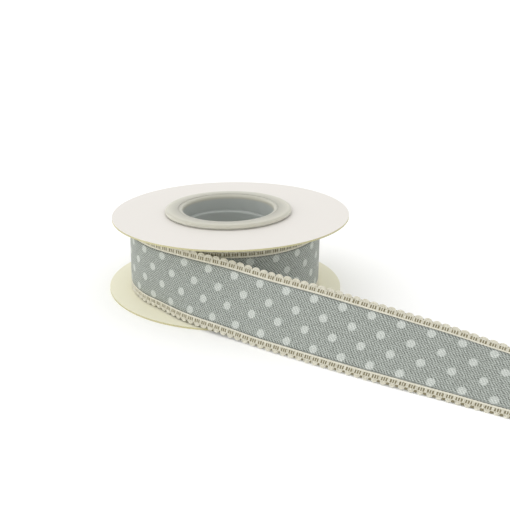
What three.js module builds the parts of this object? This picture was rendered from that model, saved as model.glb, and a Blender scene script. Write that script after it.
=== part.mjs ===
// A small reel of polka-dot ribbon with a lace edging, its loose end pulled out and laid on the table.
// Millimetres, +Z up. The reel stands on its lower flange and the tail stands on its lower edge.
import * as THREE from 'three';

// Reel
const reelRadius = 35;
const cardThickness = 0.5;
const topCardHeight = 22.7;          // underside of the upper flange at its centre
const loose = { toward: -43, card: 2.1, hub: 1.1, tilt: 1.5 };   // slack of the upper flange and the hub
const hub = {
  bore: 12.4, mouth: 13.5, barrel: 15, collar: 18.8,             // radii
  ledge: 19.5, collarHeight: 1.15, rim: 1.1, groove: 0.25,       // heights, and the mouth's rim
  straight: 0.3, fullness: 0.1,                                  // how the collar's outer edge is rounded
};
const roundSteps = 96;
const hubSteps = 64;
const curveSteps = 5;

// Ribbon
const ribbonWidth = 20.2;
const laceWidth = 2.4;
const scallop = { pitch: 2.34, depth: 0.85, steps: 4 };
const pieceGap = 0.3;
const clothWidth = ribbonWidth - 2 * (laceWidth + pieceGap);
const windingInner = 16.6;
const windingOuter = 27.6;

// Loose end: how it leaves the roll, turns and leans back, one row every 18 mm
const tailThickness = 1;
const tailRadius = 28.4;
const tailWrap = 5;                  // still lying on the roll
const tailRows = [
  { heading: 43.6, lean: 0 },
  { heading: 32.6, lean: 14.3 },
  { heading: 29, lean: 22.2 },
  { heading: 28.1, lean: 34.3 },
  { heading: 26.8, lean: 45.8 },
  { heading: 26.8, lean: 55.8 },
  { heading: 29.1, lean: 65.8 },
];
const rowSpacing = 18;
const tailLength = rowSpacing * (tailRows.length - 1);
const stride = 0.5;                  // the path is walked in steps of this
const clothStep = 2.5;
const tailDrop = { start: 22, end: 40 };   // where the lower edge comes down off the flange

const up = new THREE.Vector3(0, 0, 1);
const radians = THREE.MathUtils.degToRad;
const looseWay = new THREE.Vector2(1, 0).rotateAround(new THREE.Vector2(), radians(loose.toward));
const cardLift = Math.tan(radians(loose.tilt));
const ribbonFoot = cardThickness + pieceGap;

const cardFinish = { color: 0xece9df, roughness: 0.65, metalness: 0 };
const hubFinish = { color: 0xc9ccc6, roughness: 0.4, metalness: 0 };
const clothFinish = { color: 0x8f9a96, roughness: 0.6, metalness: 0 };
const laceFinish = { color: 0xe6dfc8, roughness: 0.8, metalness: 0 };

function named(name, geometry, finish) {
  const mesh = new THREE.Mesh(geometry, new THREE.MeshStandardMaterial(finish));
  mesh.name = name;
  return mesh;
}

function moveEach(geometry, move) {
  const position = geometry.attributes.position;
  const point = new THREE.Vector3();
  for (let i = 0; i < position.count; i += 1) {
    point.fromBufferAttribute(position, i);
    move(point);
    position.setXYZ(i, point.x, point.y, point.z);
  }
  geometry.computeVertexNormals();
  return geometry;
}

function turned(profile, steps) {
  const closed = [...profile, profile[0]];
  return new THREE.LatheGeometry(closed, steps).rotateX(Math.PI / 2);
}

// Flanges: card discs with a hole round the hub

function flange(centre, holeRadius) {
  const disc = new THREE.Shape().absarc(centre.x, centre.y, reelRadius, 0, 2 * Math.PI);
  const hubCentre = looseWay.clone().multiplyScalar(loose.hub);
  disc.holes.push(new THREE.Path().absarc(hubCentre.x, hubCentre.y, holeRadius, 0, 2 * Math.PI, true));
  return new THREE.ExtrudeGeometry(disc, {
    depth: cardThickness, bevelEnabled: false, curveSegments: roundSteps / 2,
  });
}

function lowerFlange() {
  return named('flange_bottom', flange(new THREE.Vector2(), hub.bore + pieceGap), cardFinish);
}

function upperFlange() {
  const shift = looseWay.clone().multiplyScalar(loose.card);
  const disc = flange(shift, hub.barrel + pieceGap + cardThickness);
  moveEach(disc, (p) => { p.z += topCardHeight + cardLift * looseWay.dot(p); });
  return named('flange_top', disc, cardFinish);
}

// Hub: a barrel glued to the lower card, its collar gripping the upper one and leaning with it

function hubProfile() {
  const foot = cardThickness + pieceGap;
  const seat = topCardHeight + cardThickness + pieceGap;
  const crest = seat + hub.collarHeight;
  const { bore, mouth, barrel, collar, ledge, rim, groove } = hub;
  const outline = new THREE.Shape();
  outline.moveTo(bore, foot);
  outline.lineTo(barrel, foot);
  outline.lineTo(barrel, seat);
  outline.lineTo(collar, seat);
  outline.lineTo(collar, seat + hub.straight * hub.collarHeight);
  outline.quadraticCurveTo(collar - hub.fullness * rim, crest, collar - rim, crest);
  outline.lineTo(mouth + rim + groove, crest);
  outline.lineTo(mouth + rim, crest - 2 * groove);
  outline.lineTo(mouth + rim - groove, crest - groove);
  outline.quadraticCurveTo(mouth, crest - groove, mouth, crest - rim);
  outline.lineTo(mouth, ledge);
  outline.lineTo(bore, ledge);
  return outline.getPoints(curveSteps);
}

function hubBody() {
  const body = turned(hubProfile(), hubSteps);
  moveEach(body, (p) => {
    if (p.z > topCardHeight) p.z += cardLift * looseWay.dot(p);
    p.x += looseWay.x * loose.hub;
    p.y += looseWay.y * loose.hub;
  });
  return named('hub', body, hubFinish);
}

// Wound ribbon: the cloth as one ring, with the edging as a scalloped ring at each face

function scallopCut(along) {
  const phase = along / scallop.pitch;
  return scallop.depth * (1 - Math.sqrt(Math.abs(Math.sin(Math.PI * phase))));
}

function ringProfile(bottom, height) {
  return [
    new THREE.Vector2(windingInner, bottom),
    new THREE.Vector2(windingOuter, bottom),
    new THREE.Vector2(windingOuter, bottom + height),
    new THREE.Vector2(windingInner, bottom + height),
  ];
}

function woundCloth() {
  const ring = turned(ringProfile(ribbonFoot + laceWidth + pieceGap, clothWidth), roundSteps);
  return named('ribbon_roll', ring, clothFinish);
}

function woundLace(name, bottom, scallopsUp) {
  const scallopCount = Math.round((2 * Math.PI * windingOuter) / scallop.pitch);
  const ring = turned(ringProfile(bottom, laceWidth), scallopCount * scallop.steps);
  const outerFace = scallopsUp ? bottom + laceWidth : bottom;
  moveEach(ring, (p) => {
    if (Math.abs(p.z - outerFace) > laceWidth / 2) return;
    const turn = Math.atan2(p.y, p.x) / (2 * Math.PI);
    const cut = scallopCut(turn * scallopCount * scallop.pitch);
    p.z += scallopsUp ? -cut : cut;
  });
  return named(name, ring, laceFinish);
}

// Loose end: one path for the cloth and both edgings

function tailAngles(along) {
  const last = tailRows.length - 1;
  const place = THREE.MathUtils.clamp(along / rowSpacing, 0, last);
  const row = Math.min(Math.floor(place), last - 1);
  const t = place - row;
  const value = (index, column) => {
    if (index > last) return 2 * tailRows[last][column] - tailRows[last - 1][column];
    return tailRows[Math.abs(index)][column];
  };
  const through = (column) => {
    const [before, from, to, after] = [-1, 0, 1, 2].map((step) => value(row + step, column));
    const slope = (to - before) / 2;
    const nextSlope = (after - from) / 2;
    const bend = 3 * (to - from) - 2 * slope - nextSlope;
    const swing = 2 * (from - to) + slope + nextSlope;
    return from + slope * t + bend * t ** 2 + swing * t ** 3;
  };
  return { heading: radians(through('heading')), lean: radians(through('lean')) };
}

function middleHeight(along, lean) {
  const lowerEdge = ribbonFoot * (1 - THREE.MathUtils.smoothstep(along, tailDrop.start, tailDrop.end));
  return lowerEdge + (ribbonWidth / 2) * Math.cos(lean) + (tailThickness / 2) * Math.sin(lean);
}

function walkTail() {
  const start = radians(tailRows[0].heading);
  const spot = new THREE.Vector2(-Math.sin(start), -Math.cos(start)).multiplyScalar(tailRadius);
  const places = [];
  for (let i = 0; i * stride <= tailLength + stride; i += 1) {
    places.push(new THREE.Vector3(spot.x, spot.y, middleHeight(i * stride, tailAngles(i * stride).lean)));
    const { heading } = tailAngles((i + 0.5) * stride);
    spot.x += stride * Math.cos(heading);
    spot.y -= stride * Math.sin(heading);
  }
  return places;
}

const tailPlaces = walkTail();

function tailMiddle(along) {
  if (along < 0) {
    const angle = radians(tailRows[0].heading) - along / tailRadius;
    const height = middleHeight(along, 0);
    return new THREE.Vector3(-tailRadius * Math.sin(angle), -tailRadius * Math.cos(angle), height);
  }
  const index = Math.min(Math.floor(along / stride), tailPlaces.length - 2);
  return tailPlaces[index].clone().lerp(tailPlaces[index + 1], along / stride - index);
}

function tailPoint(along, across, outward) {
  const middle = tailMiddle(along);
  const ahead = tailMiddle(along + stride).sub(tailMiddle(along - stride)).normalize();
  const upright = up.clone().addScaledVector(ahead, -ahead.z).normalize();
  const backward = upright.clone().cross(ahead);
  const { lean } = tailAngles(along);
  const acrossWay = upright.clone().multiplyScalar(Math.cos(lean)).addScaledVector(backward, Math.sin(lean));
  const outwardWay = ahead.clone().cross(acrossWay);
  return middle.addScaledVector(acrossWay, across).addScaledVector(outwardWay, outward);
}

function tailStrip(name, width, middle, stepLength, finish, edgeCut) {
  const length = tailWrap + tailLength;
  const steps = Math.round(length / stepLength);
  const strip = new THREE.BoxGeometry(length, width, tailThickness, steps, 1, 1);
  moveEach(strip, (p) => {
    const along = p.x + length / 2 - tailWrap;
    const outer = Math.sign(p.y) === Math.sign(middle);
    const across = middle + p.y - (outer ? Math.sign(middle) * edgeCut(along) : 0);
    p.copy(tailPoint(along, across, p.z));
  });
  return named(name, strip, finish);
}

function tailPieces() {
  const laceMiddle = (ribbonWidth - laceWidth) / 2;
  const laceStep = scallop.pitch / scallop.steps;
  return [
    tailStrip('ribbon_tail', clothWidth, 0, clothStep, clothFinish, () => 0),
    tailStrip('tail_lace_upper', laceWidth, laceMiddle, laceStep, laceFinish, scallopCut),
    tailStrip('tail_lace_lower', laceWidth, -laceMiddle, laceStep, laceFinish, scallopCut),
  ];
}

// The whole, standing over the middle of its own footprint

const reel = new THREE.Group();
reel.add(
  lowerFlange(),
  hubBody(),
  woundCloth(),
  woundLace('roll_lace_lower', ribbonFoot, false),
  woundLace('roll_lace_upper', ribbonFoot + ribbonWidth - laceWidth, true),
  upperFlange(),
  ...tailPieces(),
);

const footprint = new THREE.Box3().setFromObject(reel).getCenter(new THREE.Vector3());
reel.position.set(-footprint.x, -footprint.y, 0);

export default reel;
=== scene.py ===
# Reel of polka-dot ribbon with a scalloped lace edging, its loose end laid out on the table.
# The frame is in metres, +Z up. The ribbon is worked out in millimetres from the reel's axis:
# s runs along it (0 where it leaves the roll), v across it and n out of its printed face.
import math
import bpy
import numpy as np
from mathutils import Matrix, Vector


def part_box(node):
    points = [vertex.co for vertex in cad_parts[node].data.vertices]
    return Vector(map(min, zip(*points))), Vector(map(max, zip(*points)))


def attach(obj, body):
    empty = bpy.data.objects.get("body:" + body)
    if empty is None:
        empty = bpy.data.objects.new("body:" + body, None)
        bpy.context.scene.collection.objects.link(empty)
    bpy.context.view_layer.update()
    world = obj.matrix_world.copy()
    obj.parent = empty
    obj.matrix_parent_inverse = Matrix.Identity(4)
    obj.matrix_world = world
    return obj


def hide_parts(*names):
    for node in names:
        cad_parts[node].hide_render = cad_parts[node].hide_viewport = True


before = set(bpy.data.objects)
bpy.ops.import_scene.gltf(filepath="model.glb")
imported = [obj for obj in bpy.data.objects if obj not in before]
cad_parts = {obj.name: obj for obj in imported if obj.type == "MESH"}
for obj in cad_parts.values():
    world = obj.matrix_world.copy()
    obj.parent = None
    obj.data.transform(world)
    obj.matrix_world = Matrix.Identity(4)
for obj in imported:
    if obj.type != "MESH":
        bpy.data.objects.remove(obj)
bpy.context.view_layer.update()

mm = 0.001
flangeLow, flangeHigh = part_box("flange_bottom")
reelAxis = np.array([*((flangeLow + flangeHigh) / 2).xy, 0.0])
print("frame loaded, reel axis at", reelAxis.round(4))


# Camera, at the photo's viewing angle

cameraSettings = {
    "place": (8.9, -270.5, 108.7),      # mm from the reel's axis at table height
    "down": 20.18,                      # degrees below level
    "roll": 0.73,                       # degrees, the right-hand side tilted up
    "focalPixels": 950,
    "framePixels": 510,
    "sensor": 36,
}


def makeCamera(settings):
    down, roll = math.radians(settings["down"]), math.radians(settings["roll"])
    forward = Vector((0, math.cos(down), -math.sin(down)))
    level = Vector((1, 0, 0))
    right = level * math.cos(roll) + level.cross(forward) * math.sin(roll)
    data = bpy.data.cameras.new("camera")
    data.sensor_width = settings["sensor"]
    data.lens = settings["focalPixels"] * settings["sensor"] / settings["framePixels"]
    data.clip_start, data.clip_end = 0.01, 50
    camera = bpy.data.objects.new("camera", data)
    bpy.context.scene.collection.objects.link(camera)
    camera.matrix_world = Matrix((right, right.cross(forward), -forward)).transposed().to_4x4()
    camera.location = Vector(reelAxis) + Vector(settings["place"]) * mm
    bpy.context.scene.camera = camera


makeCamera(cameraSettings)
print("camera set")


# Helpers for meshes

def makePiece(name, points, faces, materials, place=None, faceMaterial=None, smooth=True):
    mesh = bpy.data.meshes.new(name)
    mesh.from_pydata(np.asarray(points, float), [], [list(map(int, f)) for f in faces])
    if place is not None:                # the piece's own coordinates in mm, which its material follows
        held = mesh.attributes.new("place", "FLOAT_VECTOR", "POINT")
        held.data.foreach_set("vector", np.asarray(place, np.float32).ravel())
    for material in materials:
        mesh.materials.append(material)
    if faceMaterial is not None:
        mesh.polygons.foreach_set("material_index", np.asarray(faceMaterial, np.int32))
    mesh.polygons.foreach_set("use_smooth", [smooth] * len(mesh.polygons))
    mesh.update()
    piece = bpy.data.objects.new(name, mesh)
    bpy.context.scene.collection.objects.link(piece)
    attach(piece, "root")
    return piece


def sweptFaces(sections, loop, closed=False):
    # Quads between neighbouring section loops, with both ends capped unless the sweep is a ring.
    # They look outward where the loops turn left-handed about the way of the sweep
    faces = []
    for i in range(sections if closed else sections - 1):
        a, b = i * loop, (i + 1) % sections * loop
        faces += [(a + j, b + j, b + (j + 1) % loop, a + (j + 1) % loop) for j in range(loop)]
    if not closed:
        last = (sections - 1) * loop
        faces += [tuple(range(loop)), tuple(range(last + loop - 1, last - 1, -1))]
    return faces


# Helpers for materials

def linearColour(hexCode):
    values = [int(hexCode[i:i + 2], 16) / 255 for i in (1, 3, 5)]
    return [c / 12.92 if c <= 0.04045 else ((c + 0.055) / 1.055) ** 2.4 for c in values] + [1.0]


def startMaterial(name):
    material = bpy.data.materials.new(name)
    material.use_nodes = True
    material.node_tree.nodes.clear()
    return material, material.node_tree


def addNode(tree, kind, settings=None, links=None):
    # Adds one node. settings and links are keyed by a socket's name or number, or by a property's name
    node = tree.nodes.new("ShaderNode" + kind)
    for key, value in (settings or {}).items():
        if isinstance(key, int) or key in node.inputs:
            node.inputs[key].default_value = value
        else:
            setattr(node, key, value)
    for key, source in (links or {}).items():
        tree.links.new(source, node.inputs[key])
    return node


# The ribbon's path: wound on the hub as a spiral, then off to the right, leaning back as it goes

ribbon = {
    "width": 20.2,                      # over both edgings
    "clothHalf": 7.6,                   # the woven cloth reaches this far each side of the middle
    "thickness": 0.3,
    "foot": 0.8,                        # the wound ribbon's lower edge, clear of the lower flange
    "outerTurn": 28.4,                  # radius where it leaves the roll
    "innerTurn": 16.9,
    "turnPitch": 0.45,
    "outerAngle": 2.3 * math.pi,        # the outer turn is made fine for this much of a spiral
    "rowSpacing": 18,
    "headings": (43.6, 32.6, 29, 28.1, 26.8, 26.8, 29.1),    # degrees right of the camera's view, at each row
    "leans": (0, 14.3, 22.2, 34.3, 45.8, 55.8, 65.8),        # degrees back from upright
    "drop": (22, 40),                   # mm along, where the lower edge comes down off the flange
    "edgingHalf": 0.2,                  # half the edging's thickness
    "step": 0.1,                        # the path is walked in steps of this
    "swayOver": 20,                     # the cloth's unevenness sets in over this much of the loose end
    # Waves in the cloth, in mm: height, spread along the ribbon and across it, and start
    "sway": ((0.1, 5.9, math.inf, 0.6), (0.07, 2.7, 6, 0), (0.05, 11, 2.4, 0)),
}
tailLength = ribbon["rowSpacing"] * (len(ribbon["headings"]) - 1)
spiralRate = ribbon["turnPitch"] / (2 * math.pi)


def woundLength(angle):
    return ribbon["outerTurn"] * angle - spiralRate * angle ** 2 / 2


def smoothRow(values, s):
    # A smooth curve through evenly spaced rows, starting level
    rows = np.array([values[1], *values, 2 * values[-1] - values[-2]], float)
    place = np.clip(s / ribbon["rowSpacing"], 0, len(values) - 1)
    row = np.minimum(place.astype(int), len(values) - 2)
    t = place - row
    before, start, end, after = (rows[row + i] for i in range(4))
    slope, nextSlope = (end - before) / 2, (after - start) / 2
    return (start + slope * t + (3 * (end - start) - 2 * slope - nextSlope) * t ** 2
            + (2 * (start - end) + slope + nextSlope) * t ** 3)


def ribbonPath():
    step = ribbon["step"]
    woundAngle = (ribbon["outerTurn"] - ribbon["innerTurn"]) / spiralRate
    wound = np.arange(-woundLength(woundAngle), 0, step)
    loose = np.arange(0, tailLength + 2, step)
    firstHeading = math.radians(ribbon["headings"][0])

    outer = ribbon["outerTurn"]
    angle = (outer - np.sqrt(outer ** 2 + 2 * spiralRate * wound)) / spiralRate
    radius = outer - spiralRate * angle
    woundHeading = firstHeading + angle
    woundPlaces = np.stack([-radius * np.sin(woundHeading), -radius * np.cos(woundHeading)], 1)

    heading = np.radians(smoothRow(ribbon["headings"], loose[:-1] + step / 2))
    leaving = -outer * np.array([math.sin(firstHeading), math.cos(firstHeading)])
    moves = step * np.stack([np.cos(heading), -np.sin(heading)], 1)
    loosePlaces = leaving + np.vstack([[0, 0], np.cumsum(moves, axis=0)])

    s = np.concatenate([wound, loose])
    lean = np.radians(np.where(s < 0, 0, smoothRow(ribbon["leans"], s)))
    fall = np.clip((s - ribbon["drop"][0]) / (ribbon["drop"][1] - ribbon["drop"][0]), 0, 1)
    lowerEdge = ribbon["foot"] * (1 - fall ** 2 * (3 - 2 * fall))
    height = lowerEdge + ribbon["width"] / 2 * np.cos(lean) + ribbon["edgingHalf"] * np.sin(lean)
    middle = np.column_stack([np.vstack([woundPlaces, loosePlaces]), height])

    ahead = np.gradient(middle, s, axis=0)
    ahead /= np.linalg.norm(ahead, axis=1, keepdims=True)
    upright = np.array([0, 0, 1]) - ahead * ahead[:, 2:]
    upright /= np.linalg.norm(upright, axis=1, keepdims=True)
    backward = np.cross(upright, ahead)
    across = upright * np.cos(lean)[:, None] + backward * np.sin(lean)[:, None]
    return s, middle, across, np.cross(ahead, across), lean / math.radians(max(ribbon["leans"]))


pathS, pathMiddle, pathAcross, pathOutward, pathLean = ribbonPath()
woundTotal = -pathS[0]
outerLength = woundLength(ribbon["outerAngle"])
print("ribbon path:", round(woundTotal + tailLength), "mm long")


def ribbonPlace(points):
    # (s, v, n) in mm to the frame, with the slight unevenness of cloth that has been wound up
    s, v, n = np.asarray(points, float).reshape(-1, 3).T
    waves = [height * np.sin(s / along + v / across + begin)
             for height, along, across, begin in ribbon["sway"]]
    sway = np.clip(s / ribbon["swayOver"], 0, 1) * sum(waves)
    out = np.zeros((len(s), 3))
    for axis in range(3):
        out[:, axis] = (np.interp(s, pathS, pathMiddle[:, axis])
                        + v * np.interp(s, pathS, pathAcross[:, axis])
                        + (n + sway) * np.interp(s, pathS, pathOutward[:, axis]))
    return reelAxis + out * mm


# Woven cloth

clothSettings = {
    "fineStep": 0.6, "fineAcross": 17,                          # mm along, and points across
    "woundStep": 1.5, "woundAcross": 3,
    "warpCell": 0.43, "weftCell": 0.326,                        # mm, one thread crossing, as measured
    "twist": (0.855, 1.14), "twistShare": 0.5,                  # mm: the yarn's twist shows as a diagonal
    "reliefSpan": 1.2,                                          # less than crossing and twist can add up to
    "wander": 0.5, "wanderScale": 0.7,                          # mm that threads stray, and times per mm
    "fibre": 0.9, "fibreScale": 2.3,                            # how unevenly fibres shine, and times per mm
    "bumpDepth": 0.05,
    "threadHollowShade": "#51554f", "threadCrownLight": "#b4bab3",        # grey-green, painted shade in the hollows and painted light on the crowns
    "printHollowShade": "#9a9f99", "printCrownLight": "#ccd0ca",          # off-white, painted shade in the hollows and painted light on the crowns
    "selvedge": (7.15, 7.5), "cordShadowShade": 0.72,             # mm from the middle, where the cloth gets a painted shadow of the lace cord beside it
    "dotPitch": 7.777, "rowPitch": 4.158, "dotStart": 0.536, "dotRadius": 1.1,
    "dotRagged": 0.45, "raggedScale": 2.2, "dotSoft": 0.12,     # mm, the print's edge follows the threads
    "slip": 3.9, "slipOver": (60, 120),                         # mm, how far the turns below are out of step
    "showThrough": 0.15,                                        # how much of a dot shows on the back
}


def wovenClothMaterial(c):
    # Woven polyester with a pigment print: matt, a grid of crossings with painted light on their crowns and
    # painted shade in the hollows between them, and off-white dots with ragged edges that lie on the threads
    material, tree = startMaterial("woven polyester, printed")
    place = addNode(tree, "Attribute", {"attribute_name": "place"}).outputs["Vector"]
    parts = addNode(tree, "SeparateXYZ", {}, {0: place})

    stray = addNode(tree, "TexNoise", {"Scale": c["wanderScale"], "Detail": 1}, {"Vector": place})
    strayed = addNode(tree, "VectorMath", {"operation": "MULTIPLY_ADD", 1: (c["wander"], c["wander"], 0)},
                      {0: stray.outputs["Color"], 2: place})
    threadAngle = addNode(tree, "VectorMath", {"operation": "MULTIPLY",
        1: (math.pi / c["warpCell"], math.pi / c["weftCell"], 0)}, {0: strayed.outputs[0]})
    threadWave = addNode(tree, "VectorMath", {"operation": "SINE"}, {0: threadAngle.outputs[0]})
    waves = addNode(tree, "SeparateXYZ", {}, {0: threadWave.outputs[0]})
    crossing = addNode(tree, "Math", {"operation": "MULTIPLY"},
                       {0: waves.outputs["X"], 1: waves.outputs["Y"]})
    twistAngle = addNode(tree, "VectorMath", {"operation": "DOT_PRODUCT",
        1: (2 * math.pi / c["twist"][0], 2 * math.pi / c["twist"][1], 0)}, {0: strayed.outputs[0]})
    twist = addNode(tree, "Math", {"operation": "SINE"}, {0: twistAngle.outputs["Value"]})
    relief = addNode(tree, "Math", {"operation": "MULTIPLY_ADD", 1: c["twistShare"]},
                     {0: twist.outputs[0], 2: crossing.outputs[0]})
    crown = addNode(tree, "MapRange", {"From Min": -c["reliefSpan"], "From Max": c["reliefSpan"]},
                    {"Value": relief.outputs[0]})
    fibre = addNode(tree, "TexNoise", {"Scale": c["fibreScale"], "Detail": 3, "Roughness": 0.6},
                    {"Vector": place})
    uneven = addNode(tree, "Math", {"operation": "MULTIPLY_ADD", 1: c["fibre"], 2: -c["fibre"] / 2},
                     {0: fibre.outputs[0]})
    thread = addNode(tree, "Math", {"operation": "ADD", "use_clamp": True},
                     {0: crown.outputs[0], 1: uneven.outputs[0]})

    # Four rows of dots, every other row half a step along; the grid's cell counts start two rows down
    grid = addNode(tree, "VectorMath", {"operation": "MULTIPLY_ADD",
        1: (1 / c["dotPitch"], 1 / c["rowPitch"], 0), 2: (c["dotStart"], 2, 0)}, {0: place})
    gridPlace = addNode(tree, "SeparateXYZ", {}, {0: grid.outputs[0]})
    row = addNode(tree, "Math", {"operation": "FLOOR"}, {0: gridPlace.outputs["Y"]})
    odd = addNode(tree, "Math", {"operation": "MODULO", 1: 2}, {0: row.outputs[0]})
    shifted = addNode(tree, "Math", {"operation": "MULTIPLY_ADD", 1: 0.5},
                      {0: odd.outputs[0], 2: gridPlace.outputs["X"]})
    cell = addNode(tree, "CombineXYZ", {}, {"X": shifted.outputs[0], "Y": gridPlace.outputs["Y"]})
    inCell = addNode(tree, "VectorMath", {"operation": "FRACTION"}, {0: cell.outputs[0]})
    fromDot = addNode(tree, "VectorMath", {"operation": "SUBTRACT", 1: (0.5, 0.5, 0)}, {0: inCell.outputs[0]})
    fromDotMm = addNode(tree, "VectorMath", {"operation": "MULTIPLY",
        1: (c["dotPitch"], c["rowPitch"], 0)}, {0: fromDot.outputs[0]})
    distance = addNode(tree, "VectorMath", {"operation": "LENGTH"}, {0: fromDotMm.outputs[0]})
    edgeNoise = addNode(tree, "TexNoise", {"Scale": c["raggedScale"], "Detail": 1}, {"Vector": place})
    ragged = addNode(tree, "Math", {"operation": "MULTIPLY_ADD", 1: c["dotRagged"]},
                     {0: edgeNoise.outputs[0], 2: distance.outputs["Value"]})
    edge = c["dotRadius"] + c["dotRagged"] / 2
    printed = addNode(tree, "MapRange", {"interpolation_type": "SMOOTHSTEP",
        "From Min": edge + c["dotSoft"], "From Max": edge - c["dotSoft"]}, {"Value": ragged.outputs[0]})
    faceShare = addNode(tree, "MapRange", {"From Min": -1, "From Max": 1,
        "To Min": c["showThrough"], "To Max": 1}, {"Value": parts.outputs["Z"]})
    dot = addNode(tree, "Math", {"operation": "MULTIPLY"}, {0: printed.outputs[0], 1: faceShare.outputs[0]})

    # Thread and print each come as a painted shaded copy in the hollows and a painted lit copy on the crowns
    plain = addNode(tree, "Mix", {"data_type": "RGBA", 6: linearColour(c["threadHollowShade"]),
        7: linearColour(c["threadCrownLight"])}, {0: thread.outputs[0]})
    inked = addNode(tree, "Mix", {"data_type": "RGBA", 6: linearColour(c["printHollowShade"]),
        7: linearColour(c["printCrownLight"])}, {0: thread.outputs[0]})
    colour = addNode(tree, "Mix", {"data_type": "RGBA"},
                     {0: dot.outputs[0], 6: plain.outputs[2], 7: inked.outputs[2]})
    # Painted shadow of the lace cord, darker towards each edge of the cloth
    fromMiddle = addNode(tree, "Math", {"operation": "ABSOLUTE"}, {0: parts.outputs["Y"]})
    paintedCordShadow = addNode(tree, "MapRange", {"From Min": c["selvedge"][0], "From Max": c["selvedge"][1],
        "To Min": 1, "To Max": c["cordShadowShade"]}, {"Value": fromMiddle.outputs[0]})
    shaded = addNode(tree, "Mix", {"data_type": "RGBA", "blend_type": "MULTIPLY", 0: 1.0},
                     {6: colour.outputs[2], 7: paintedCordShadow.outputs[0]})
    bump = addNode(tree, "Bump", {"Strength": 0.6, "Distance": c["bumpDepth"] * mm},
                   {"Height": thread.outputs[0]})
    shader = addNode(tree, "BsdfPrincipled", {
        "Roughness": 0.62, "Specular IOR Level": 0.35, "Sheen Weight": 0.1, "Sheen Roughness": 0.4},
        {"Base Color": shaded.outputs[2], "Normal": bump.outputs[0]})
    addNode(tree, "OutputMaterial", {}, {"Surface": shader.outputs[0]})
    return material


clothMaterial = wovenClothMaterial(clothSettings)


def clothStrip(name, start, end, stepLength, pointsAcross):
    steps = max(2, round((end - start) / stepLength) + 1)
    s = np.linspace(start, end, steps)
    v = np.linspace(-ribbon["clothHalf"], ribbon["clothHalf"], pointsAcross)
    half = ribbon["thickness"] / 2
    loopV = np.concatenate([v, v[::-1]])
    loopN = np.concatenate([np.full(pointsAcross, half), np.full(pointsAcross, -half)])
    points = np.stack([np.repeat(s, len(loopV)), np.tile(loopV, steps), np.tile(loopN, steps)], 1)
    place = points.copy()
    slipFrom, slipTo = clothSettings["slipOver"]
    place[:, 0] += clothSettings["slip"] * np.clip((-points[:, 0] - slipFrom) / (slipTo - slipFrom), 0, 1)
    place[:, 2] = np.sign(points[:, 2])
    faces = sweptFaces(steps, len(loopV))
    return makePiece(name, ribbonPlace(points), faces, [clothMaterial], place)


outerCloth = clothStrip("ribbonCloth", -outerLength, tailLength,
                        clothSettings["fineStep"], clothSettings["fineAcross"])
woundCloth = clothStrip("ribbonClothWound", -woundTotal, -outerLength,
                        clothSettings["woundStep"], clothSettings["woundAcross"])
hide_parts("ribbon_tail")
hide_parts("ribbon_roll")
print("cloth made")


# Lace edging: a thick cord beside the cloth, a ladder of threads, and scallops of looped yarn

edging = {
    "pitch": 2.34,                      # one scallop, in mm as all here
    "cord": {"at": 7.86, "halfWide": 0.29, "halfThick": 0.2, "sides": 10, "steps": 6, "twist": 0.07},
    # The dark ground reaches into each notch's root; on the lower edge it reaches further as the ribbon
    # leans, a painted shadow of the crevice under the leaning ribbon
    "ground": {"from": 7.9, "to": 9.25, "notch": 0.3, "leanShare": 0.35, "halfThick": 0.05},
    "rail": {"at": 9.12, "radius": 0.11, "sides": 6},
    "rungs": {"from": 8.0, "to": 9.2, "radius": 0.125, "arch": 0.05, "sides": 6, "steps": 4,
              "at": (-0.3, 0.3, 0.94, 1.17, 1.4)},     # from the scallop's middle: slots, then a solid bar
    "loops": {"base": 9.06, "wide": (1.0, 0.68, 0.36), "tall": (0.84, 0.57, 0.3), "fullness": 0.8,
              "radius": (0.17, 0.16, 0.15), "rise": (0, 0.03, 0.05), "sides": 6, "steps": 12},
    "uneven": 0.05, "unevenWays": (1, 0.6, 0.5),   # how much scallops differ, and its share in s, v and n
    "seed": {"Upper": 11, "Lower": 12},
    "cutShort": 0.1,                    # a part that the end would cut shorter than this is left out
    "squeeze": 0.35,                    # how much narrower the table presses the lower loops where they lean
    "shift": {"Upper": 0.8, "Lower": 0.45},        # where each side's first scallop starts
    "fibreScale": 3.1, "bumpDepth": 0.04,
    "yarn": ("#bfbaa6", "#dcdacd"),     # cream
    "groundYarnAndShade": ("#69634b", "#918a70"),   # the darker warp between the rungs, its colour darkened further as painted shade between the threads
    "woundSteps": 4,                    # per scallop, on the hidden turns
    "woundHalfThick": 0.15,
    "scallopDepth": 0.85,
}


def yarnMaterial(name, colours, roughness):
    # Soft-spun cotton: matt, mottled along the strand, with a slight fuzz that lightens its edges
    material, tree = startMaterial(name)
    place = addNode(tree, "Attribute", {"attribute_name": "place"}).outputs["Vector"]
    fibre = addNode(tree, "TexNoise", {"Scale": edging["fibreScale"], "Detail": 3, "Roughness": 0.65},
                    {"Vector": place})
    contrast = addNode(tree, "MapRange", {"From Min": 0.3, "From Max": 0.7}, {"Value": fibre.outputs[0]})
    colour = addNode(tree, "Mix", {"data_type": "RGBA", 6: linearColour(colours[0]),
        7: linearColour(colours[1])}, {0: contrast.outputs[0]})
    bump = addNode(tree, "Bump", {"Strength": 0.5, "Distance": edging["bumpDepth"] * mm},
                   {"Height": fibre.outputs[0]})
    shader = addNode(tree, "BsdfPrincipled", {
        "Roughness": roughness, "Specular IOR Level": 0.25, "Sheen Weight": 0.2, "Sheen Roughness": 0.5},
        {"Base Color": colour.outputs[2], "Normal": bump.outputs[0]})
    addNode(tree, "OutputMaterial", {}, {"Surface": shader.outputs[0]})
    return material


edgingMaterials = [yarnMaterial("cotton yarn, cream", edging["yarn"], 0.8),
                   yarnMaterial("cotton ground yarn, fawn, with painted shade", edging["groundYarnAndShade"], 0.9)]


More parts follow.
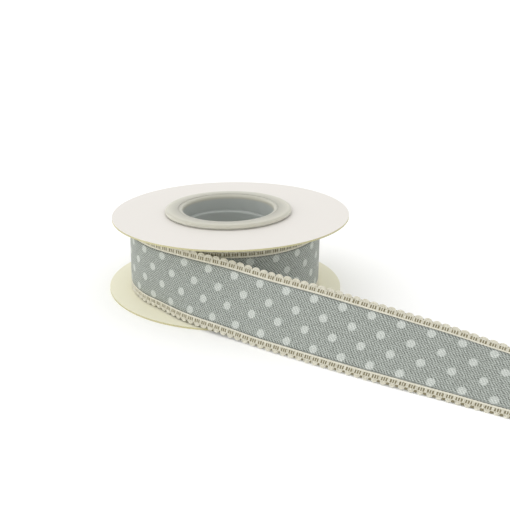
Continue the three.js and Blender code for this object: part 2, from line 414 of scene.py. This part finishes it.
def tubeAround(line, radius, sides):
    # A tube along points (s, v, n); its section lies across the line within the ribbon's own plane
    line = np.asarray(line, float)
    ahead = np.gradient(line, axis=0)
    ahead /= np.linalg.norm(ahead, axis=1, keepdims=True)
    sideways = np.cross(ahead, [0, 0, 1.0])
    sideways /= np.linalg.norm(sideways, axis=1, keepdims=True)
    upward = np.cross(sideways, ahead)
    turn = 2 * math.pi * np.arange(sides) / sides
    loops = (line[:, None] + radius * (np.cos(turn)[None, :, None] * sideways[:, None]
             + np.sin(turn)[None, :, None] * upward[:, None]))
    return loops.reshape(-1, 3), sweptFaces(len(line), sides)


def scallopParts():
    # One scallop's rungs and loops in (s, v, n), with v measured outwards from the ribbon's middle
    rungs, loops = edging["rungs"], edging["loops"]
    share = np.linspace(0, 1, rungs["steps"] + 1)
    rungParts, loopParts = [], []
    for at in rungs["at"]:
        line = np.stack([np.full(len(share), at), rungs["from"] + share * (rungs["to"] - rungs["from"]),
                         rungs["arch"] * np.sin(math.pi * share)], 1)
        rungParts.append(tubeAround(line, rungs["radius"], rungs["sides"]))
    turn = np.linspace(0, math.pi, loops["steps"] + 1)
    for wide, tall, radius, rise in zip(loops["wide"], loops["tall"], loops["radius"], loops["rise"]):
        out = loops["base"] + tall * np.sin(turn) ** loops["fullness"]
        line = np.stack([-wide * np.cos(turn), out, rise * np.sin(turn)], 1)
        loopParts.append(tubeAround(line, radius, loops["sides"]))
    return rungParts, loopParts


def edgingPiece(label, start, end, side):
    rng = np.random.default_rng(edging["seed"][label])
    pitch, cord, rail, ground = (edging[k] for k in ("pitch", "cord", "rail", "ground"))
    points, faces, kinds = [], [], []

    def addPart(partPoints, partFaces, kind):
        base = sum(len(p) for p in points)
        points.append(partPoints)
        faces.extend([tuple(base + i for i in f) for f in partFaces])
        kinds.extend([kind] * len(partFaces))

    def leanShare(s):                      # how far the lower edge leans on the table there, 0 to 1
        return np.interp(s, pathS, pathLean) if side < 0 else 0 * s

    s = np.arange(start, end + 1e-6, pitch / cord["steps"])
    turn = -2 * math.pi * np.arange(cord["sides"]) / cord["sides"]
    swell = 1 + cord["twist"] * np.cos(2 * turn[None, :] - 2 * math.pi * s[:, None] / (pitch / 2))
    cordPoints = np.stack([np.repeat(s[:, None], cord["sides"], 1),
                           cord["at"] + cord["halfWide"] * swell * np.cos(turn)[None, :],
                           cord["halfThick"] * swell * np.sin(turn)[None, :]], 2)
    addPart(cordPoints.reshape(-1, 3), sweptFaces(len(s), cord["sides"]), 0)
    railLine = np.stack([s, np.full(len(s), rail["at"]), np.zeros(len(s))], 1)
    addPart(*tubeAround(railLine, rail["radius"], rail["sides"]), 0)
    first = start + edging["shift"][label] - pitch
    # Painted shadow: the dark ground reaches further into the lower notches where the ribbon leans
    notch = (ground["notch"] + ground["leanShare"] * leanShare(s)) * np.cos(math.pi * (s - first) / pitch) ** 2
    v = np.stack([np.full(len(s), ground["from"]), ground["to"] + notch, ground["to"] + notch,
                  np.full(len(s), ground["from"])], 1)
    n = ground["halfThick"] * np.array([1, 1, -1, -1])
    groundPoints = np.stack([np.repeat(s, 4), v.ravel(), np.tile(n, len(s))], 1)
    addPart(groundPoints, sweptFaces(len(s), 4), 1)

    rungParts, loopParts = scallopParts()
    middle = first + pitch / 2
    while middle < end + pitch / 2:
        narrow = np.array([1 - edging["squeeze"] * leanShare(middle), 1, 1])
        for stretch, parts in ((1, rungParts), (narrow, loopParts)):
            for partPoints, partFaces in parts:
                drift = rng.normal(0, edging["uneven"] / 2, 3) * edging["unevenWays"]
                placed = partPoints * stretch + [middle, 0, 0] + drift
                if start < placed[:, 0].min() < end - edging["cutShort"]:
                    addPart(placed, partFaces, 0)
        middle += pitch

    points = np.vstack(points)
    points[:, 0] = np.minimum(points[:, 0], end)
    points[:, 1] *= side
    if side < 0:
        faces = [f[::-1] for f in faces]
    return makePiece("edging" + label, ribbonPlace(points), faces, edgingMaterials, points, kinds)


def woundEdging(name, start, end, side):
    # The hidden turns: one flat band with a scalloped edge
    s = np.arange(start, end, edging["pitch"] / edging["woundSteps"])
    cut = edging["scallopDepth"] * (1 - np.sqrt(np.abs(np.sin(math.pi * s / edging["pitch"]))))
    inner, outer = ribbon["clothHalf"], ribbon["width"] / 2 - cut
    half = edging["woundHalfThick"]
    v = side * np.stack([np.full(len(s), inner), outer, outer, np.full(len(s), inner)], 1)
    n = np.tile(half * np.array([1, 1, -1, -1]), (len(s), 1))
    points = np.stack([np.repeat(s[:, None], 4, 1), v, n], 2).reshape(-1, 3)
    faces = sweptFaces(len(s), 4)
    if side < 0:
        faces = [f[::-1] for f in faces]
    return makePiece(name, ribbonPlace(points), faces, edgingMaterials[:1], points)


for label, side in (("Upper", 1), ("Lower", -1)):
    fine = edgingPiece(label, -outerLength, tailLength, side)
    wound = woundEdging("edging" + label + "Wound", -woundTotal, -outerLength, side)
    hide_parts("tail_lace_" + label.lower())
    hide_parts("roll_lace_" + label.lower())
print("edging made")


# Hub: one moulding, barrel and collar, the collar leaning with the upper flange

hubSettings = {
    "bore": 12.4, "mouth": 13.5, "barrel": 15, "collar": 18.8,          # radii, mm
    "foot": 0.8, "ledge": 19.5, "seat": 23.26, "crest": 24.65,          # heights
    "rim": 1.35, "groove": 0.13,
    "rounding": {"foot": 0.1, "seat": 0.05, "skirt": 0.5, "shoulder": 1.05, "groove": 0.06,
                 "grooveFloor": 0.08, "mouth": 0.9, "ledge": 0.15, "step": 0.5, "points": 4},
    "offset": 1.1, "toward": -43,       # the slack hub sits this far off, in this direction in degrees
    "lift": 1.5, "leanFrom": 22.7,      # the collar is tilted up that way by so many degrees
    "around": 160,
    # The colours paint what shows through as light and shade: painted light from the table at the foot,
    # painted shade on the barrel from the wound ribbon behind it and the deep bore, then painted light from
    # the white card on the collar
    "footColour": "#c3c7c1", "barrelColour": "#a5a9a5", "collarColour": "#bebcae",
    "cardHeight": (23.1, 23.6),         # heights where barrel colour turns to collar colour
    # Painted shade darkening inwards to the groove, a painted highlight at the lip, and at the outer corner
    # painted shade by the shoulder and painted light low on the wall
    "topRadius": (14.8, 17.8), "topShade": (0.68, 1), "lipRadius": (14.6, 14.1), "lipHighlight": 0.14,
    "cornerRadius": (17.6, 18.4), "cornerHeight": (24.5, 23.4), "cornerShade": (0.88, 1.12),
    "skin": 0.4, "skinDepth": 0.02,     # mm, the moulding's fine texture
}


def polyethyleneMaterial(h):
    # Moulded natural polyethylene: milky, light soaks a few millimetres in. Its colour paints what lies
    # behind it as light and shade showing through, painted shade from the wound ribbon on the barrel and
    # painted light from the white card on the collar, with painted shade in the groove and a painted
    # highlight at the lip
    material, tree = startMaterial("polyethylene, moulded and frosted")
    place = addNode(tree, "Attribute", {"attribute_name": "place"}).outputs["Vector"]
    parts = addNode(tree, "SeparateXYZ", {}, {0: place})
    radius, height = parts.outputs["X"], parts.outputs["Y"]

    def ramp(value, span, shade):
        return addNode(tree, "MapRange", {"From Min": span[0], "From Max": span[1], "To Min": shade[0],
                       "To Max": shade[1]}, {"Value": value}).outputs[0]

    # Painted shade darker inwards to the groove, with a painted highlight at the lip
    outward = addNode(tree, "Math", {"operation": "ADD"}, {0: ramp(radius, h["topRadius"], h["topShade"]),
                      1: ramp(radius, h["lipRadius"], (0, h["lipHighlight"]))})
    # Painted shade by the collar's shoulder, painted light low on its outer wall
    downward = ramp(height, h["cornerHeight"], h["cornerShade"])
    atCorner = ramp(radius, h["cornerRadius"], (0, 1))
    corner = addNode(tree, "Mix", {2: 1.0}, {0: atCorner, 3: downward})
    shade = addNode(tree, "Math", {"operation": "MULTIPLY"}, {0: outward.outputs[0], 1: corner.outputs[0]})
    collar = addNode(tree, "Mix", {"data_type": "RGBA", "blend_type": "MULTIPLY", 0: 1.0,
                     6: linearColour(h["collarColour"])}, {7: shade.outputs[0]})
    # Painted light at the foot and painted shade up the barrel, then the collar's colour above the card
    barrel = addNode(tree, "Mix", {"data_type": "RGBA", 6: linearColour(h["footColour"]),
                     7: linearColour(h["barrelColour"])}, {0: ramp(height, (h["foot"], h["ledge"]), (0, 1))})
    colour = addNode(tree, "Mix", {"data_type": "RGBA"}, {0: ramp(height, h["cardHeight"], (0, 1)),
                     6: barrel.outputs[2], 7: collar.outputs[2]})
    where = addNode(tree, "TexCoord").outputs["Object"]
    skin = addNode(tree, "TexNoise", {"Scale": 1 / (h["skin"] * mm), "Detail": 2}, {"Vector": where})
    bump = addNode(tree, "Bump", {"Strength": 0.2, "Distance": h["skinDepth"] * mm},
                   {"Height": skin.outputs[0]})
    shader = addNode(tree, "BsdfPrincipled", {
        "Roughness": 0.4, "IOR": 1.51,
        "Subsurface Weight": 0.8, "Subsurface Radius": (1, 1, 1), "Subsurface Scale": 1.5 * mm},
        {"Base Color": colour.outputs[2], "Normal": bump.outputs[0]})
    addNode(tree, "OutputMaterial", {}, {"Surface": shader.outputs[0]})
    return material


def rounded(corner, before, after, radius, steps):
    # Points that round a profile's corner off
    corner, before, after = (np.array(p, float) for p in (corner, before, after))
    start = corner + (before - corner) / np.linalg.norm(before - corner) * radius
    end = corner + (after - corner) / np.linalg.norm(after - corner) * radius
    t = np.linspace(0, 1, steps + 1)[:, None]
    return (1 - t) ** 2 * start + 2 * t * (1 - t) * corner + t ** 2 * end


def makeHub(h):
    # The profile, corner by corner: radius, height and how far it is rounded
    soft, crest, grooveMiddle = h["rounding"], h["crest"], h["mouth"] + h["rim"]
    lipTop = crest - h["groove"]
    corners = [
        (h["bore"], h["foot"], soft["foot"]),
        (h["barrel"], h["foot"], soft["foot"]),
        (h["barrel"], h["seat"], soft["seat"]),
        (h["collar"], h["seat"], soft["skirt"]),
        (h["collar"], crest, soft["shoulder"]),
        (grooveMiddle + h["groove"], crest, soft["groove"]),
        (grooveMiddle, lipTop - h["groove"], soft["grooveFloor"]),
        (grooveMiddle - h["groove"], lipTop, soft["groove"]),
        (h["mouth"], lipTop, soft["mouth"]),
        (h["mouth"], h["ledge"], soft["ledge"]),
        (h["bore"], h["ledge"], soft["step"]),
    ]
    profile = []
    for i, (r, z, radius) in enumerate(corners):
        nextCorner = corners[(i + 1) % len(corners)]
        profile.append(rounded((r, z), corners[i - 1][:2], nextCorner[:2], radius, soft["points"]))
    profile = np.vstack(profile)
    turn = 2 * math.pi * np.arange(h["around"]) / h["around"]
    toward = np.array([np.cos(np.radians(h["toward"])), np.sin(np.radians(h["toward"]))])
    offset = h["offset"] * toward
    x = profile[None, :, 0] * np.cos(turn)[:, None]
    y = profile[None, :, 0] * np.sin(turn)[:, None]
    z = np.repeat(profile[None, :, 1], h["around"], 0)
    lift = math.tan(math.radians(h["lift"])) * (x * toward[0] + y * toward[1])
    z = z + np.where(z > h["leanFrom"], lift, 0)
    points = np.stack([x + offset[0], y + offset[1], z], 2).reshape(-1, 3)
    place = np.column_stack([np.tile(profile, (h["around"], 1)), np.zeros(len(points))])
    faces = sweptFaces(h["around"], len(profile), closed=True)
    return makePiece("hubMoulding", reelAxis + points * mm, faces, [polyethyleneMaterial(h)], place)


hub = makeHub(hubSettings)
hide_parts("hub")
print("hub made")


# Flanges: card discs, coated white outside and bare cream board inside

cardSettings = {
    "coated": "#dad6d0", "bare": "#ebe8d2", "edge": "#a39c76", "edgeBand": "#d2cda5",
    "fibre": 0.35, "fibreDepth": 0.02,  # mm, the board's fleck
    "plies": 0.12,                      # mm, its layers seen at the cut edge
    "turned": (0.4, 0.6),               # how level a face is where the cut edge ends and the flat starts
}


def cardMaterial(name, c, coatedUp):
    # Folding boxboard, die-cut: a smooth satin coat on one side, bare cream pulp with a faint fleck on the
    # other, and darker layers at the cut edge
    material, tree = startMaterial(name)
    geometry = addNode(tree, "NewGeometry")
    facing = addNode(tree, "SeparateXYZ", {}, {0: geometry.outputs["Normal"]}).outputs["Z"]
    where = addNode(tree, "TexCoord").outputs["Object"]
    fleck = addNode(tree, "TexNoise", {"Scale": 1 / (c["fibre"] * mm), "Detail": 4, "Roughness": 0.6},
                    {"Vector": where})
    sign = 1 if coatedUp else -1
    edge, flatFrom = c["turned"]
    coated = addNode(tree, "MapRange", {"From Min": sign * edge, "From Max": sign * flatFrom},
                     {"Value": facing})
    flat = addNode(tree, "Math", {"operation": "ABSOLUTE"}, {0: facing})
    atCut = addNode(tree, "MapRange", {"From Min": flatFrom, "From Max": edge}, {"Value": flat.outputs[0]})
    face = addNode(tree, "Mix", {"data_type": "RGBA", 6: linearColour(c["bare"]),
                   7: linearColour(c["coated"])}, {0: coated.outputs[0]})
    plies = addNode(tree, "TexWave", {"bands_direction": "Z", "Scale": 0.5 / (c["plies"] * mm),
                    "Distortion": 1.5, "Detail": 2}, {"Vector": where})
    cut = addNode(tree, "Mix", {"data_type": "RGBA", 6: linearColour(c["edge"]),
                  7: linearColour(c["edgeBand"])}, {0: plies.outputs["Fac"]})
    board = addNode(tree, "Mix", {"data_type": "RGBA"},
                    {0: atCut.outputs[0], 6: face.outputs[2], 7: cut.outputs[2]})
    shade = addNode(tree, "MapRange", {"To Min": 0.97, "To Max": 1.0}, {"Value": fleck.outputs[0]})
    colour = addNode(tree, "Mix", {"data_type": "RGBA", "blend_type": "MULTIPLY", 0: 1.0},
                     {6: board.outputs[2], 7: shade.outputs[0]})
    roughness = addNode(tree, "MapRange", {"To Min": 0.8, "To Max": 0.5}, {"Value": coated.outputs[0]})
    bump = addNode(tree, "Bump", {"Strength": 0.15, "Distance": c["fibreDepth"] * mm},
                   {"Height": fleck.outputs[0]})
    shader = addNode(tree, "BsdfPrincipled", {"Specular IOR Level": 0.4}, {
        "Base Color": colour.outputs[2], "Roughness": roughness.outputs[0], "Normal": bump.outputs[0]})
    addNode(tree, "OutputMaterial", {}, {"Surface": shader.outputs[0]})
    return material


for node, coatedUp in (("flange_top", True), ("flange_bottom", False)):
    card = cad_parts[node]
    card.data.materials.clear()
    card.data.materials.append(cardMaterial("boxboard, " + node, cardSettings, coatedUp))
print("flanges finished")


# Table and light

studio = {
    "tableSize": 8,                     # m
    "tableDrop": 0.02,                  # mm below the lower flange, so that the two faces don't coincide
    "table": "#fbfbfa",
    "tent": {"colour": "#ffffff", "around": 1.32, "overhead": 0.88},   # strength at the horizon and above
    "softboxes": (
        {"strength": 0.6, "spread": 2, "from": (-0.9, -0.1, 0.5)},
    ),
}


def makeStudio(settings):
    size = settings["tableSize"] / 2
    mesh = bpy.data.meshes.new("table")
    corners = [(-size, -size, 0), (size, -size, 0), (size, size, 0), (-size, size, 0)]
    mesh.from_pydata(corners, [], [(0, 1, 2, 3)])
    material, tree = startMaterial("matt white paint")          # gives no highlight, only soft shadow
    shader = addNode(tree, "BsdfPrincipled", {"Base Color": linearColour(settings["table"]), "Roughness": 0.9,
                     "Specular IOR Level": 0.1})
    addNode(tree, "OutputMaterial", {}, {"Surface": shader.outputs[0]})
    mesh.materials.append(material)
    table = bpy.data.objects.new("table", mesh)
    bpy.context.scene.collection.objects.link(table)
    table.location.z = -settings["tableDrop"] * mm

    tent = settings["tent"]
    world = bpy.data.worlds.new("studio")
    world.use_nodes = True
    tree = world.node_tree
    direction = addNode(tree, "TexCoord").outputs["Generated"]
    parts = addNode(tree, "SeparateXYZ", {}, {0: direction})
    strength = addNode(tree, "MapRange", {"To Min": tent["around"], "To Max": tent["overhead"]},
                       {"Value": parts.outputs["Z"]}).outputs[0]
    for softbox in settings["softboxes"]:
        way = Vector(softbox["from"]).normalized()
        towards = addNode(tree, "VectorMath", {"operation": "DOT_PRODUCT", 1: way}, {0: direction})
        faced = addNode(tree, "Math", {"operation": "MAXIMUM", 1: 0.0}, {0: towards.outputs["Value"]})
        glow = addNode(tree, "Math", {"operation": "POWER", 1: softbox["spread"]}, {0: faced.outputs[0]})
        strength = addNode(tree, "Math", {"operation": "MULTIPLY_ADD", 1: softbox["strength"]},
                           {0: glow.outputs[0], 2: strength}).outputs[0]
    background = tree.nodes["Background"]
    background.inputs["Color"].default_value = linearColour(tent["colour"])
    tree.links.new(strength, background.inputs["Strength"])
    bpy.context.scene.world = world


makeStudio(studio)
bpy.context.scene.view_settings.view_transform = "Standard"
print("studio made")
